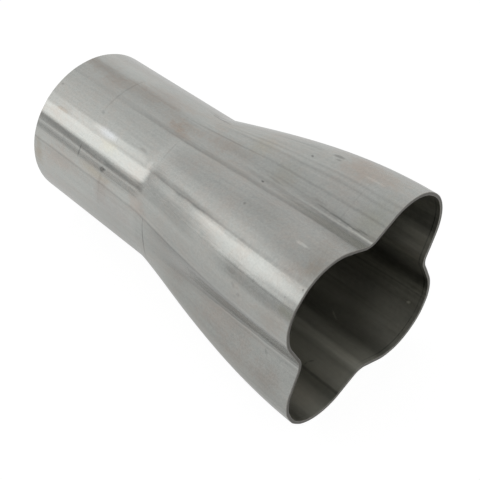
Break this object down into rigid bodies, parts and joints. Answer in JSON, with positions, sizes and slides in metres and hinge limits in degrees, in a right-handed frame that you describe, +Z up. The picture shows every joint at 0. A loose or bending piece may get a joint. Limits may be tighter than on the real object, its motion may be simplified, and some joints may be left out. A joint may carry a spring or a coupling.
{
  "type": "exhaust collector",
  "caption": "Formed steel tube whose cloverleaf mouth takes the primary exhaust tubes side by side and narrows along a smooth flare into a round outlet.",
  "frame": {"origin": "on the surface that the collector lies on, under the centre of its bounding box", "axes": "+X along the collector out of the lobed mouth, +Z up, as it lies at rest on two lobes and the lower edge of the outlet; its own axis rises 2.77 degrees towards the mouth"},
  "size_m": [0.1816, 0.0926, 0.0929],
  "materials": {
    "stainless_steel": "bare mill-finish stainless sheet tube, satin, with fine marks of the forming die along it"
  },
  "bodies": {
    "root": {"collector_body": "stainless_steel"}
  },
  "joints": []
}
